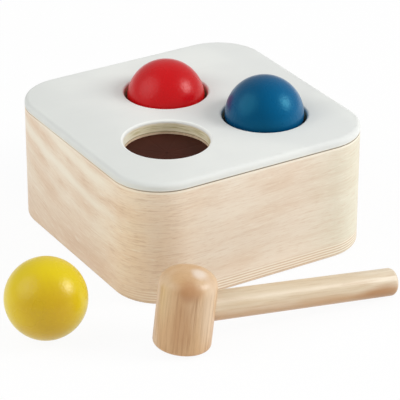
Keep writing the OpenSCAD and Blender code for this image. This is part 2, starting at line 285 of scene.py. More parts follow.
class Paint:
    """One material and the nodes that make it."""

    def __init__(self, name):
        self.material = bpy.data.materials.new(name)
        self.material.use_nodes = True
        self.tree = self.material.node_tree
        self.shader = self.tree.nodes["Principled BSDF"]

    def node(self, kind, settings=None, values=None, out=0):
        """Adds a node, sets it, feeds its sockets and gives the output asked for."""
        node = self.tree.nodes.new(kind)
        for key, value in (settings or {}).items():
            setattr(node, key, value)
        for key, value in (values or {}).items():
            self.feed(node.inputs[key], value)
        return Signal(self, node.outputs[out])

    def feed(self, socket, value):
        """Links a signal to a socket, or sets the socket to a plain value."""
        if isinstance(value, Signal):
            self.tree.links.new(value.socket, socket)
        else:
            socket.default_value = value

    def split(self, vector):
        """X, Y and Z of a vector."""
        return [self.node("ShaderNodeSeparateXYZ", values={0: vector}, out=axis) for axis in "XYZ"]

    def join(self, x, y, z):
        """Vector with these parts."""
        return self.node("ShaderNodeCombineXYZ", values={"X": x, "Y": y, "Z": z})

    def place(self):
        """Position on the piece, in metres."""
        return self.node("ShaderNodeTexCoord", out="Object")

    def place_mm(self, middle=None, angles=None):
        """Position in millimetres: X, Y and Z, in a frame with its own middle and turn if asked."""
        place = self.place()
        if middle is not None:
            values = {
                "Vector": place, "Location": [part * MM for part in middle],
                "Rotation": angles, "Scale": (1, 1, 1),
            }
            place = self.node("ShaderNodeMapping", {"vector_type": "TEXTURE"}, values)
        return [part / MM for part in self.split(place)]

    def stretch(self, place, scales, shift=(0.0, 0.0, 0.0)):
        """A place scaled along each axis by its own factor, and shifted."""
        parts = []
        for part, scale, by in zip(place, scales, shift):
            parts.append(part * scale + by if by else part * scale)
        return self.join(*parts)

    def noise(self, vector, scale, detail, roughness=0.5):
        """Cloudy noise between 0 and 1."""
        values = {"Vector": vector, "Scale": scale, "Detail": detail, "Roughness": roughness}
        return self.node("ShaderNodeTexNoise", values=values)

    def streaks(self, place, scales, detail, roughness=0.5, shift=(0.0, 0.0, 0.0)):
        """Noise drawn out along the axis with the smallest scale."""
        return self.noise(self.stretch(place, scales, shift), 1.0, detail, roughness)

    def spots(self, vector, scale=1.0):
        """Distance from the middle of the nearest of many scattered spots."""
        values = {"Vector": vector, "Scale": scale}
        return self.node("ShaderNodeTexVoronoi", {"feature": "F1"}, values)

    def distance(self, vector):
        """Length of a vector."""
        return self.node("ShaderNodeVectorMath", {"operation": "LENGTH"}, {0: vector}, out="Value")

    def blend(self, share, first, second):
        """Mix of two colours."""
        settings = {"data_type": "RGBA", "clamp_factor": True}
        return self.node("ShaderNodeMix", settings, {0: share, 6: first, 7: second}, out=2)

    def bump(self, height, depth, strength):
        """Normal of a relief; depth is in metres."""
        values = {"Height": height, "Distance": depth, "Strength": strength}
        return self.node("ShaderNodeBump", values=values)

    def finish(self, colour, roughness, normal, **uniform):
        """Feeds the shader; uniform names its sockets that are the same all over."""
        self.feed(self.shader.inputs["Base Color"], colour)
        self.feed(self.shader.inputs["Roughness"], roughness)
        self.feed(self.shader.inputs["Normal"], normal)
        for key, value in uniform.items():
            self.feed(self.shader.inputs[key.replace("_", " ")], value)
        return self.material


# Lacquered walls

# How fast each layer of a wall's figure changes, per millimetre along, into and up the wall
WALL_SLOW = (0.016, 0.05, 0.045)
WALL_WAVE = (0.035, 0.10, 0.13)
WALL_PATCH = (0.022, 0.04, 0.055)
WALL_LONG_FIBRE = (0.022, 0.4, 0.42)
WALL_FIBRE = (0.10, 1.1, 1.05)
WALL_HAIR = (0.22, 2.4, 2.3)
WALL_PORE = (0.15, 1.2, 0.95)

# How far the figure's slow and quicker waves lift its layers and how far its veins wander
# beside that, in millimetres, and how far its fine lines wander, in radians
SLOW_LIFT = 3.5
WAVE_LIFT = 1.6
VEIN_WANDER = 3.5
LINES_WANDER = 2.0

# Finish of the lacquer: roughness, gloss, and depth in metres and strength of the relief
WALL_ROUGH = 0.46
WALL_GLOSS = 0.36
WALL_RELIEF = (0.00008, 0.5)

# Where a zone starts and where it is full, in millimetres: the first two by the distance
# from their corner, the others along one run round the box, 0 at the front left corner
FRONT_LEFT_ZONE = (46.0, 8.0)
FRONT_RIGHT_ZONE = (54.0, 2.0)
LEFT_ZONE = (-12.0, -40.0)
LEFT_TONE_ZONE = (34.0, -40.0)
TAN_ZONE = (50.0, 95.0)
LINES_ZONE = (-30.0, 30.0)

# The grain's sweep: it rises evenly from this place to the right and bows upwards from it
# to the back left corner, where it is mirrored, softened by the last value
BOW_AT = -41.3
BOW_RISE = 0.0023
EVEN_RISE = 0.022
BACK_FOLD = 200.0

# Heights in millimetres: pale veins, shade low on the left wall, tan patch and pale strip
# of the front, fine lines above the foot, darker foot, pale lip under the seam, and painted shade at
# the seam
VEIN_Z = 46.4
VEIN_APART = 15.5
VEIN_FADE = (24.0, 46.0)
SHADE_Z = (40.0, 6.0)
TAN_Z = (34.0, 46.0)
TAN_TOP_Z = (64.0, 54.0)
PALE_Z = (16.0, 26.0)
PALE_TOP_Z = (44.0, 32.0)
LINES_Z = (9.4, 7.2)
LINES_APART = 1.62
FOOT_Z = (3.2, 0.6)
LIP_Z = SEAM_Z - 1.0
LIP_HALF = (0.85, 0.3)
SEAM_SHADE_Z = (SEAM_Z - 0.5, SEAM_Z - 0.2)


def wrap(paint, across, side):
    """Position on the box's outside, unrolled: along a wall from its middle, depth and height.

    across is the axis that the wall faces along, and side is its sign there.
    """
    x, y, z = paint.place_mm()
    along, out = (y, x * side) if across == "X" else (x, y * side)
    past = (along.size() - CORNER_AT).over(0.0)
    beyond = out - CORNER_AT
    run = along.size().under(CORNER_AT) + past.angle(beyond) * CORNER_R
    depth = CORNER_R - (past * past + beyond * beyond).sqrt()
    return along.sign() * run, depth, z


class WallFigure:
    """The figure of the wood on a wall: its zones round the box, its grain and its fine lines."""

    def __init__(self, paint, across, side, start, way):
        """start and way turn the wall's own run into the one run round the box."""
        run, depth, self.z = wrap(paint, across, side)
        place = run * way + start
        self.set_zones(place)
        self.set_grain(paint, place, depth)
        self.set_lines()

    def set_zones(self, place):
        """Shares of each zone; past the back left corner the figure is mirrored softly."""
        past_back = place + 2 * MITRE_RUN
        self.folded = (past_back * past_back + BACK_FOLD).sqrt() - 2 * MITRE_RUN
        self.corner = self.folded.size().step(*FRONT_LEFT_ZONE)
        self.far_corner = (self.folded - 2 * MITRE_RUN).size().step(*FRONT_RIGHT_ZONE)
        self.left = self.folded.step(*LEFT_ZONE)
        self.turned = self.folded.step(*LEFT_TONE_ZONE)

    def set_grain(self, paint, place, depth):
        """Level is a point's height in the tree's layers, which sweep up to the back."""
        bow = (BOW_AT - self.folded).over(0.0)
        rise = bow * bow * BOW_RISE + (self.folded - BOW_AT).over(0.0) * EVEN_RISE
        slow = paint.streaks((place, depth, self.z), WALL_SLOW, 2.0)
        self.wave = paint.streaks((place, depth, self.z), WALL_WAVE, 3.0)
        self.level = self.z - rise + (slow - 0.5) * SLOW_LIFT + (self.wave - 0.5) * WAVE_LIFT
        spot = (place, depth, self.level)
        self.patch = paint.streaks(spot, WALL_PATCH, 2.0)
        self.long_fibre = paint.streaks(spot, WALL_LONG_FIBRE, 3.0, 0.55)
        self.fibre = paint.streaks(spot, WALL_FIBRE, 4.0, 0.60)
        self.hair = paint.streaks(spot, WALL_HAIR, 3.0, 0.60)
        self.pore = paint.spots(paint.stretch(spot, WALL_PORE)).step(0.24, 0.07)

    def set_lines(self):
        """Fine dark lines along the front and right walls, just above the foot."""
        self.band = self.z.step(*LINES_Z) * self.folded.step(*LINES_ZONE)
        wander = (self.wave - 0.5) * LINES_WANDER
        self.comb = (self.z * (TURN / LINES_APART) + wander).lines()

    def tan_patch(self):
        """Share of the tan patch high up, from the middle of the front wall to the right."""
        return self.z.step(*TAN_Z) * self.z.step(*TAN_TOP_Z) * self.folded.step(*TAN_ZONE)

    def pale_strip(self):
        """Share of the pale strip half way up the front and right walls."""
        return self.z.step(*PALE_Z) * self.z.step(*PALE_TOP_Z) * (1 - self.turned)

    def veins(self):
        """Share of the broad pale veins, which are strong high up on the left wall."""
        above = self.level + (self.wave - 0.5) * VEIN_WANDER - VEIN_Z
        vein = (above * (TURN / VEIN_APART) + TURN / 4).lines() ** 1.4
        high = self.level.step(*VEIN_FADE) * 0.80 + 0.20
        return vein * high * self.patch.step(0.08, 0.46) * (0.25 + self.left * 0.75)


def wall_body(paint, figure, tones, plain):
    """Colour of a wall away from its edges; plain is the share of the veins left out."""
    pale, middle, dark, low_tone = tones
    corner = figure.corner
    colour = paint.blend(figure.patch.step(0.38, 0.62), middle, pale)
    colour = paint.blend(figure.z.step(*SHADE_Z) * figure.left * 0.55, colour, low_tone)
    colour = paint.blend(figure.tan_patch() * 0.26, colour, dark)
    colour = paint.blend(figure.pale_strip() * 0.35, colour, FIBRE_TONE)
    # Painted light: the front left corner is tan and paler, making up for the little lamp light it gets
    colour = paint.blend(corner * 0.45, colour, CORNER_TAN_AND_LIGHT_TONE)
    # Painted light: the front right corner turns a cool cream
    colour = paint.blend(figure.far_corner * 0.75, colour, FAR_CORNER_LIGHT_TONE)
    # Each layer, how much of it shows, how much more at the corner, and its tone
    layers = (
        (figure.long_fibre.step(0.50, 0.76), 0.26, 0.22, dark),
        (figure.long_fibre.step(0.48, 0.26), 0.30, 0.00, pale),
        (figure.fibre.step(0.50, 0.72), 0.38, 0.24, dark),
        (figure.fibre.step(0.47, 0.30), 0.42, 0.00, FIBRE_TONE),
        (figure.hair.step(0.52, 0.74), 0.26, 0.14, dark),
        (figure.pore, 0.30, 0.25, dark),
    )
    for layer, share, more_at_corner, tone in layers:
        colour = paint.blend(layer * (share + corner * more_at_corner), colour, tone)
    return paint.blend(figure.veins() * (1 - plain) * 0.80, colour, VEIN_TONE)


def wall_edges(paint, figure, colour, dark):
    """Adds the fine lines, the darker foot, the pale lip and the painted shade of the seam under the
    plate.
    """
    band, comb, z = figure.band, figure.comb, figure.z
    colour = paint.blend(band * (comb ** 2.0) * 0.85, colour, dark)
    colour = paint.blend(band * ((1 - comb) ** 2.0) * 0.75, colour, LINE_TONE)
    colour = paint.blend(z.step(*FOOT_Z) * 0.42 * (1 - figure.far_corner), colour, FOOT_TONE)
    lip = (z - LIP_Z).size().step(*LIP_HALF)
    colour = paint.blend(lip * (0.75 - figure.turned * 0.40), colour, LIP_TONE)
    # Painted shade in the groove of the seam, strongest on the front
    seam = z.step(*SEAM_SHADE_Z)
    return paint.blend(seam * (0.92 - figure.turned * 0.60), colour, SEAM_SHADE_TONE)


def wall_wood(name, across, side, start, way, plain):
    """Clear-lacquered light wood of a wall, whose figure runs on round the corners."""
    paint = Paint(name)
    figure = WallFigure(paint, across, side, start, way)
    tones = [paint.blend(figure.turned, front, left) for front, left in zip(FRONT_TONES, LEFT_TONES)]
    colour = wall_body(paint, figure, tones, plain)
    colour = wall_edges(paint, figure, colour, tones[2])
    rough = WALL_ROUGH + (figure.fibre - 0.5) * 0.14 + figure.pore * 0.08
    height = figure.fibre * 0.5 + figure.hair * 0.3 - figure.pore * 0.5
    normal = paint.bump(height + figure.comb * figure.band * 0.2, *WALL_RELIEF)
    return paint.finish(colour, rough, normal, Specular_IOR_Level=WALL_GLOSS)


# Turned and hidden wood

# How fast each layer changes, per millimetre along the grain and across it both ways
TURNED_WAVE = (0.02, 0.10, 0.10)
TURNED_FIBRE = (0.035, 0.85, 0.85)
TURNED_HAIR = (0.10, 3.4, 3.4)
TURNED_CLOUD = (0.02, 0.06, 0.06)
TURNED_FLECK = (0.26, 2.0, 2.0)
BOARD_WAVE = (0.012, 0.06, 0.06)
BOARD_FIBRE = (0.03, 0.8, 0.9)

# Their finish: roughness, gloss, and depth in metres and strength of the relief
TURNED_ROUGH = 0.34
TURNED_GLOSS = 0.5
TURNED_RELIEF = (0.00006, 0.5)
BOARD_ROUGH = 0.62
BOARD_GLOSS = 0.3
BOARD_RELIEF = (0.00010, 0.6)

# Heart of the tree that the hammer was cut from, beside its axis, and how far its year
# rings wander, in millimetres, how they widen along the axis, and a stain's uneven edge
HEART_Y = -31.0
HEART_Z = 17.0
RING_WANDER = 4.0
RING_TAPER = 0.03
STAIN_WANDER = 0.9

# Arched year rings of the hidden boards: how far they wander and how they bow
ARCH_WANDER = 16.0
ARCH_BOW = 0.0008


def turned_wood(name, angles, tones, seed, ring, dark_share, calm, stains_and_light):
    """Wood of the hammer; its grain runs along X of the turned frame.

    seed picks the piece of wood, and ring is how far its year rings lie apart. dark_share
    is how dark the grain is, and calm says where along the axis it starts to fade and
    where it is faint.
    """
    paint = Paint(name)
    place = paint.place_mm(HAMMER_AT, angles)
    x, y, z = place
    wave = paint.streaks(place, TURNED_WAVE, 3.0, shift=(0, seed, 0))
    fibre = paint.streaks(place, TURNED_FIBRE, 4.0, 0.62, (0, seed, 0))
    hair = paint.streaks(place, TURNED_HAIR, 3.0, 0.6, (0, 0, seed))
    cloud = paint.streaks(place, TURNED_CLOUD, 2.0, shift=(seed, 0, 0))
    fleck = paint.spots(paint.stretch(place, TURNED_FLECK, (0, seed, 0))).step(0.16, 0.05)
    from_heart = ((y - HEART_Y) * (y - HEART_Y) + (z - HEART_Z) * (z - HEART_Z)).sqrt()
    rings = from_heart + (wave - 0.5) * RING_WANDER + x * RING_TAPER
    late = (rings * (TURN / ring)).lines() ** 2.0

    pale, middle, dark = tones
    grain = (1 - x.step(*calm) * 0.75) * dark_share
    colour = paint.blend(cloud.step(0.36, 0.66), middle, pale)
    # Each layer and how much of it shows
    layers = (
        (fibre.step(0.44, 0.74), 1.0),
        (late, 0.22),
        (hair.step(0.50, 0.78), 0.6),
        (fleck, 0.7),
    )
    for layer, share in layers:
        colour = paint.blend(layer * grain * share, colour, dark)
    # Stains, and patches of painted light and shade, as the tables give them
    for middle_at, reaches, tone, strength in stains_and_light:
        away = [(part - at) / width for part, at, width in zip(place, middle_at, reaches)]
        far = paint.distance(paint.join(*away)) + (wave - 0.5) * STAIN_WANDER
        colour = paint.blend(far.step(1.15, 0.25) * strength, colour, tone)

    rough = TURNED_ROUGH + (fibre - 0.5) * 0.16 + fleck * 0.08
    normal = paint.bump(fibre * 0.6 + hair * 0.3 - fleck * 0.5, *TURNED_RELIEF)
    return paint.finish(colour, rough, normal, Specular_IOR_Level=TURNED_GLOSS)


def board_wood(name, along, tones, seed):
    """Bare sanded wood of the hidden boards and posts; along is the axis of its grain."""
    paint = Paint(name)
    x, y, z = paint.place_mm()
    if along == "Y":
        x, y = y, x
    wave = paint.streaks((x, y, z), BOARD_WAVE, 3.0, shift=(seed, 0, 0))
    fibre = paint.streaks((x, y, z), BOARD_FIBRE, 4.0, 0.62, (0, seed, 0))
    arch = (y + wave * ARCH_WANDER + x * x * ARCH_BOW).lines()
    pale, dark = tones
    colour = paint.blend(fibre.step(0.40, 0.76) * 0.55, pale, dark)
    colour = paint.blend((arch ** 3.0) * 0.28, colour, dark)
    rough = BOARD_ROUGH + (fibre - 0.5) * 0.16
    normal = paint.bump(fibre + arch * 0.2, *BOARD_RELIEF)
    return paint.finish(colour, rough, normal, Specular_IOR_Level=BOARD_GLOSS)


# Painted plate

# How fast its layers change, per millimetre all ways or along each axis
PLATE_PEEL = 1.6
PLATE_CLOUD = 0.022
PLATE_GRIME = 0.35
PLATE_SPECK = 0.55
PLATE_RIPPLE = (0.02, 0.5, 0.5)
HOLE_FIBRE = (0.10, 0.12, 1.9)

# Finish of the paint: roughness, gloss, and depth in metres and strength of the relief
PLATE_ROUGH = 0.62
PLATE_GLOSS = 0.14
PLATE_RELIEF = (0.00005, 0.35)

# The painted shade on the left of the plate, the painted highlight round a hole, and the bare
# wood in it: how near the hole's middle the wood starts and is bare, how far down, and its uneven edge
LEFT_SHADE_X = (-22.0, -75.0)
RIM_HIGHLIGHT_OUT = (HOLE_R + 1.5, HOLE_R + 0.8)
BARE_OUT = (HOLE_R + 1.0, HOLE_R + 0.35)
BARE_Z = (TOP_Z - 1.2, TOP_Z - 2.1)
BARE_WANDER = 0.5

# Heights in a hole: its worn mouth, the middle and half thickness of two pale layers, and
# its dark foot; and where its wood is painted paler to the left, as painted light
MOUTH_Z = (TOP_Z - 1.8, TOP_Z - 1.2)
UPPER_LAYER_Z = TOP_Z - 2.0
UPPER_LAYER_HALF = (0.40, 0.12)
LOWER_LAYER_Z = TOP_Z - 5.9
LOWER_LAYER_HALF = (0.55, 0.20)
HOLE_FOOT_Z = (TOP_Z - 6.65, TOP_Z - 6.9)
HOLE_LEFT_LIGHT_X = (-36.0, -54.0)

# The plate's edge over the seam: how far from a hole's middle it counts, where its painted
# shade is fainter to the left, and the heights of thin paint and of painted shade
EDGE_OUT = (HOLE_R + 0.8, HOLE_R + 2.0)
EDGE_LEFT_X = (-60.0, -76.0)
THIN_Z = (SEAM_Z + 0.95, SEAM_Z + 0.5)
PLATE_SEAM_SHADE_Z = (SEAM_Z + 0.45, SEAM_Z + 0.1)


def hole_distance(x, y):
    """Distance from the middle of the nearest hole."""
    near = None
    for hole_x, hole_y in HOLES.values():
        away_x = x - hole_x
        away_y = y - hole_y
        away = (away_x * away_x + away_y * away_y).sqrt()
        near = away if near is None else near.under(away)
    return near


def hole_wood(paint, x, z, fibre):
    """Colour of the bare layered wood in the plate's holes."""
    pale, dark = HOLE_TONES
    colour = paint.blend(fibre.step(0.36, 0.70), pale, dark)
    # Painted light: the hole's wood is paler to the left
    colour = paint.blend(x.step(*HOLE_LEFT_LIGHT_X) * 0.8, colour, HOLE_LEFT_LIGHT_TONE)
    colour = paint.blend(z.step(*MOUTH_Z) * 0.5, colour, HOLE_MOUTH_TONE)
    upper = (z - UPPER_LAYER_Z).size().step(*UPPER_LAYER_HALF)
    colour = paint.blend(upper * 0.70, colour, UPPER_LAYER_TONE)
    lower = (z - LOWER_LAYER_Z).size().step(*LOWER_LAYER_HALF)
    colour = paint.blend(lower * 0.60, colour, LOWER_LAYER_TONE)
    return paint.blend(z.step(*HOLE_FOOT_Z) * 0.80, colour, HOLE_FOOT_TONE)


def plate_paint():
    """White paint with painted highlights round the holes and painted shade on its left and at the
    seam, thin over the seam; bare wood in the holes.
    """
    paint = Paint("white_paint")
    x, y, z = paint.place_mm()
    spot = paint.join(x, y, z)
    near = hole_distance(x, y)
    ripple = paint.streaks((x, y, z), PLATE_RIPPLE, 3.0)
    fibre = paint.streaks((x, y, z), HOLE_FIBRE, 3.0, 0.6)
    peel = paint.noise(spot, PLATE_PEEL, 2.0)
    cloud = paint.noise(spot, PLATE_CLOUD, 2.0)
    grime = paint.noise(spot, PLATE_GRIME, 3.0)
    speck = paint.spots(spot, PLATE_SPECK).step(0.075, 0.03)

    cool, warm = WHITE_TONES
    white = paint.blend(cloud.step(0.36, 0.66), cool, warm)
    white = paint.blend(ripple.step(0.52, 0.78) * 0.12, white, RIPPLE_TONE)
    white = paint.blend(speck * 0.10, white, SPECK_TONE)
    # Painted shade: the left of the plate is greyer
    white = paint.blend(x.step(*LEFT_SHADE_X) * 0.55, white, LEFT_SHADE_WHITE_TONE)
    # Painted highlight: paler white round each hole's rim
    white = paint.blend(near.step(*RIM_HIGHLIGHT_OUT) * 0.70, white, RIM_HIGHLIGHT_TONE)
    bare = near.step(*BARE_OUT) * (z + (grime - 0.5) * BARE_WANDER).step(*BARE_Z)
    colour = paint.blend(bare, white, hole_wood(paint, x, z, fibre))
    outside = near.step(*EDGE_OUT)
    colour = paint.blend(z.step(*THIN_Z) * outside * 0.60, colour, THIN_WHITE_TONE)
    # Painted shade along the plate's edge just over the seam, fainter to the left
    seam_shade = z.step(*PLATE_SEAM_SHADE_Z) * outside * (0.90 - x.step(*EDGE_LEFT_X) * 0.60)
    colour = paint.blend(seam_shade, colour, PLATE_SEAM_SHADE_TONE)

    rough = PLATE_ROUGH + (grime - 0.5) * 0.08
    normal = paint.bump(peel * 0.5 + ripple * 0.35 + bare * fibre * 1.4, *PLATE_RELIEF)
    return paint.finish(colour, rough, normal, Specular_IOR_Level=PLATE_GLOSS)


# Painted balls

# How fast its layers change, per millimetre all ways or along each axis, how far apart
# the lathe's lines lie in millimetres, and how far they wander and the turning axis leans,
# in radians
BALL_PEEL = 0.75
BALL_CLOUD = 0.045
BALL_NICK = 0.22
BALL_GRAIN = (0.05, 0.6, 0.6)
LATHE_APART = 1.3
LATHE_WANDER = 2.0
BALL_LEAN = (0.5, 0.3)

# Where a ball's painted light starts and is full, in ball radii towards its side, and its uneven edge
PAINTED_SIDE_FROM = (0.35, 1.05)
PAINTED_SIDE_WANDER = 0.4

# Finish of the paint: roughness, gloss, and depth in metres and strength of the relief
BALL_ROUGH = 0.28
BALL_GLOSS = 0.52
BALL_RELIEF = (0.00015, 0.7)


def ball_paint(name, middle, turn, tones, tint, painted_side=None):
    """Satin paint on a turned ball: faint turning lines, orange peel and small nicks.

    turn turns the ball's own frame, and painted_side gives a side with painted light, its tone
    and how much of it shows.
    """
    paint = Paint(name)
    x, y, z = paint.place_mm(middle, (*BALL_LEAN, turn))
    spot = paint.join(x, y, z)
    peel = paint.noise(spot, BALL_PEEL, 1.0)
    cloud = paint.noise(spot, BALL_CLOUD, 3.0)
    grain = paint.streaks((x, y, z), BALL_GRAIN, 3.0)
    turned = (z * (TURN / LATHE_APART) + grain * LATHE_WANDER).lines()
    nick = paint.spots(spot, BALL_NICK).step(0.055, 0.02)

    full, deep, rim = tones
    colour = paint.blend(cloud.step(0.34, 0.68) * 0.6, full, deep)
    # Painted light and shade on one side of the ball
    if painted_side:
        side, tone, share = painted_side
        away = [(part - at) * way for part, at, way in zip(paint.place_mm(), middle, side)]
        toward = (away[0] + away[1] + away[2]) / BALL_R + (cloud - 0.5) * PAINTED_SIDE_WANDER
        colour = paint.blend(toward.step(*PAINTED_SIDE_FROM) * share, colour, tone)
    colour = paint.blend(grain.step(0.50, 0.78) * 0.16, colour, deep)
    colour = paint.blend(nick * 0.35, colour, rim)

    rough = BALL_ROUGH + (cloud - 0.5) * 0.08 + nick * 0.15
    normal = paint.bump(peel + grain * 0.2 + turned * 0.05 - nick * 0.8, *BALL_RELIEF)
    return paint.finish(colour, rough, normal, Specular_IOR_Level=BALL_GLOSS, Specular_Tint=tint)


# Rubber and steel

# How fast their layers change, per millimetre, and their finish as above
RUBBER_FINE = 2.6
RUBBER_BLOOM = 0.10
RUBBER_ROUGH = 0.66
RUBBER_GLOSS = 0.12
RUBBER_RELIEF = (0.00005, 0.5)
STEEL_DULL = 0.9
STEEL_BRUSHED = (6.0, 6.0, 0.8)
STEEL_ROUGH = 0.30
STEEL_RELIEF = (0.00003, 0.3)


def rubber():
    """Dark brown matt rubber with a dusty bloom."""
    paint = Paint("rubber")
    spot = paint.join(*paint.place_mm())
    fine = paint.noise(spot, RUBBER_FINE, 3.0)
    bloom = paint.noise(spot, RUBBER_BLOOM, 3.0)
    dark, pale = RUBBER_TONES
    colour = paint.blend(bloom.step(0.35, 0.70), dark, pale)
    colour = paint.blend(fine.step(0.55, 0.80) * 0.15, colour, RUBBER_DUST_TONE)
    rough = RUBBER_ROUGH + (bloom - 0.5) * 0.12
    normal = paint.bump(fine, *RUBBER_RELIEF)
    return paint.finish(colour, rough, normal, Specular_IOR_Level=RUBBER_GLOSS)


def screw_steel():
    """Zinc-plated steel, brushed and a little dull."""
    paint = Paint("steel")
    place = paint.place_mm()
    dull = paint.noise(paint.join(*place), STEEL_DULL, 3.0)
    brushed = paint.streaks(place, STEEL_BRUSHED, 3.0)
    bright, grey = ZINC_TONES
    colour = paint.blend(dull.step(0.4, 0.7), bright, grey)
    rough = STEEL_ROUGH + (dull - 0.4) * 0.3
    return paint.finish(colour, rough, paint.bump(brushed, *STEEL_RELIEF), Metallic=1.0)


# Grip rings: a rim and eight petals, bent down where a ball sits in the hole

# The rim: outer radius, thickness, edge rounding, and steps round an edge and round the ring
RIM_OUTER_R = 28.5
RIM_T = 3.0
RIM_ROUND = 0.3
RIM_ARC_STEPS = 3
RIM_TURN_STEPS = 96

# The petals: their number and thickness, and the slit between two of them
PETAL_COUNT = 8
PETAL_HALF_TURN = math.pi / PETAL_COUNT
PETAL_T = 1.2
SLIT = 0.03

# Along a petal, as radii from the hole's middle: its root inside the rim, its hinge and
# its tip. The bend is rounded off to both sides of the hinge.
ROOT_R = HOLE_R + 0.4
PETAL_R = 23.45
PETAL_TIP_R = 0.25
PETAL_REACH = PETAL_R - PETAL_TIP_R
BEND = HOLE_R - PETAL_R
BEND_STEPS = 6
BLADE_STEPS = 28

# A petal hugs its ball at this radius
HUG_R = BALL_R + 0.1

# The round tip's length and its half width at the very end
TIP_ROUND = 0.8
TIP_HALF = 0.01

# Across a petal, as shares of its half width: its points, and where its edge rounds off
PETAL_ACROSS = (-1.0, -0.985, -0.94, -0.6, -0.2, 0.2, 0.6, 0.94, 0.985, 1.0)
EDGE_FROM = 0.94
EDGE_ROUND = 0.05

# Faces that meet at a smaller angle are shaded as one
SMOOTH_BELOW = math.radians(38)


def add_piece(name, maker, material):
    """Makes a piece from a function that fills a mesh, smooth between its sharp edges."""
    mesh = bpy.data.meshes.new(name)
    shape = bmesh.new()
    maker(shape)
    bmesh.ops.recalc_face_normals(shape, faces=shape.faces)
    shape.to_mesh(mesh)
    shape.free()
    mesh.materials.append(material)
    mesh.shade_smooth()
    mesh.set_sharp_from_angle(angle=SMOOTH_BELOW)
    piece = bpy.data.objects.new(name, mesh)
    bpy.context.collection.objects.link(piece)
    return piece


def add_point(shape, place, radius, angle, height):
    """Adds a point to a mesh, placed round a hole's middle in millimetres."""
    at = (place[0] + radius * math.cos(angle), place[1] + radius * math.sin(angle), height)
    return shape.verts.new([part * MM for part in at])


def fill_rim(shape, place):
    """Closed ring turned round the hole's axis."""
    outline = rim_outline()
    rows = []
    for turn in range(RIM_TURN_STEPS):
        angle = TURN * turn / RIM_TURN_STEPS
        rows.append([add_point(shape, place, radius, angle, height) for radius, height in outline])
    for turn in range(RIM_TURN_STEPS):
        here, there = rows[turn], rows[(turn + 1) % RIM_TURN_STEPS]
        for point in range(len(outline)):
            after = (point + 1) % len(outline)
            shape.faces.new((here[point], here[after], there[after], there[point]))


def rim_outline():
    """Section of the rim as (radius, height): a rectangle with rounded corners."""
    inner, outer = HOLE_R + RIM_ROUND, RIM_OUTER_R - RIM_ROUND
    low, high = RING_TOP - RIM_T + RIM_ROUND, RING_TOP - RIM_ROUND
    outline = []
    corners = ((outer, high, 0.0), (inner, high, 90.0), (inner, low, 180.0), (outer, low, 270.0))
    for middle_r, middle_z, start in corners:
        for step in range(RIM_ARC_STEPS + 1):
            angle = math.radians(start + 90.0 * step / RIM_ARC_STEPS)
            radius = middle_r + RIM_ROUND * math.cos(angle)
            outline.append((radius, middle_z + RIM_ROUND * math.sin(angle)))
    return outline


def petal_dip(drop):
    """Angle by which a ball that sits this far above the ring bends a petal down."""
    return math.asin(HUG_R / math.hypot(PETAL_R, drop)) - math.atan2(drop, PETAL_R)


def petal_spine(drop):
    """Points of a petal's upper side from root to tip: radius, height, lean and unbent radius.

    A petal under a ball bends at its root, runs straight until it meets the ball and then
    hugs it. drop is the height of the ball's middle over the ring, or None with no ball.
    """
    dip = petal_dip(drop) if drop else 0.0
    straight = math.sqrt(PETAL_R ** 2 + drop ** 2 - HUG_R ** 2) if drop else PETAL_REACH
    spine = [(ROOT_R, 0.0, 0.0, ROOT_R)]
    for step in range(BEND_STEPS + 1):
        lean = dip * step / BEND_STEPS
        flat = HOLE_R - 2 * BEND * step / BEND_STEPS
        if dip:
            radius = BEND / math.tan(dip / 2)
            at = (HOLE_R - radius * math.sin(lean), radius * (math.cos(lean) - 1))
        else:
            at = (flat, 0.0)
        spine.append((*at, lean, flat))
    for step in range(1, BLADE_STEPS + 1):
        along = BEND + (PETAL_REACH - BEND) * step / BLADE_STEPS
        if along <= straight:
            at = (PETAL_R - along * math.cos(dip), -along * math.sin(dip))
            lean = dip
        else:
            lean = dip - (along - straight) / HUG_R
            at = (HUG_R * math.sin(lean), drop - HUG_R * math.cos(lean))
        spine.append((*at, lean, PETAL_R - along))
    return spine


def petal_row(shape, place, middle, under, point):
    """A row of points across a petal's upper or under side, at one point of its spine."""
    spine_r, height, lean, flat = point
    to_tip = max(flat - PETAL_TIP_R, 0.0) / TIP_ROUND
    tip_share = math.sqrt(max(1 - (1 - min(to_tip, 1.0)) ** 2, 0.0))
    width = (flat * PETAL_HALF_TURN - SLIT / 2) * tip_share + TIP_HALF
    row = []
    for share in PETAL_ACROSS:
        fall = EDGE_ROUND * max(0.0, (abs(share) - EDGE_FROM) / (1 - EDGE_FROM)) ** 2
        fall += EDGE_ROUND * max(0.0, 1 - to_tip) ** 2
        depth = PETAL_T - fall if under else fall
        angle = middle + share * width / max(spine_r, TIP_ROUND)
        radius = spine_r + depth * math.sin(lean)
        row.append(add_point(shape, place, radius, angle, RING_TOP + height - depth * math.cos(lean)))
    return row


def fill_petals(shape, place, drop):
    """Eight closed petals; each narrows to a round tip and has rounded edges."""
    spine = petal_spine(drop)
    for petal in range(PETAL_COUNT):
        middle = TURN * (petal + 0.5) / PETAL_COUNT
        top, under = [
            [petal_row(shape, place, middle, side, point) for point in spine] for side in (False, True)
        ]
        close_sheets(shape, top, under)


def close_sheets(shape, top, under):
    """Joins two like grids of points into one closed skin."""
    rows, columns = len(top), len(top[0])
    for row in range(rows - 1):
        for column in range(columns - 1):
            for grid in (top, under):
                here, there = grid[row], grid[row + 1]
                shape.faces.new((here[column], here[column + 1], there[column + 1], there[column]))
    for row in range(rows - 1):
        for column in (0, columns - 1):
            upper = (top[row][column], top[row + 1][column])
            shape.faces.new((*upper, under[row + 1][column], under[row][column]))
    for column in range(columns - 1):
        for row in (0, rows - 1):
            upper = (top[row][column], top[row][column + 1])
            shape.faces.new((*upper, under[row][column + 1], under[row][column]))


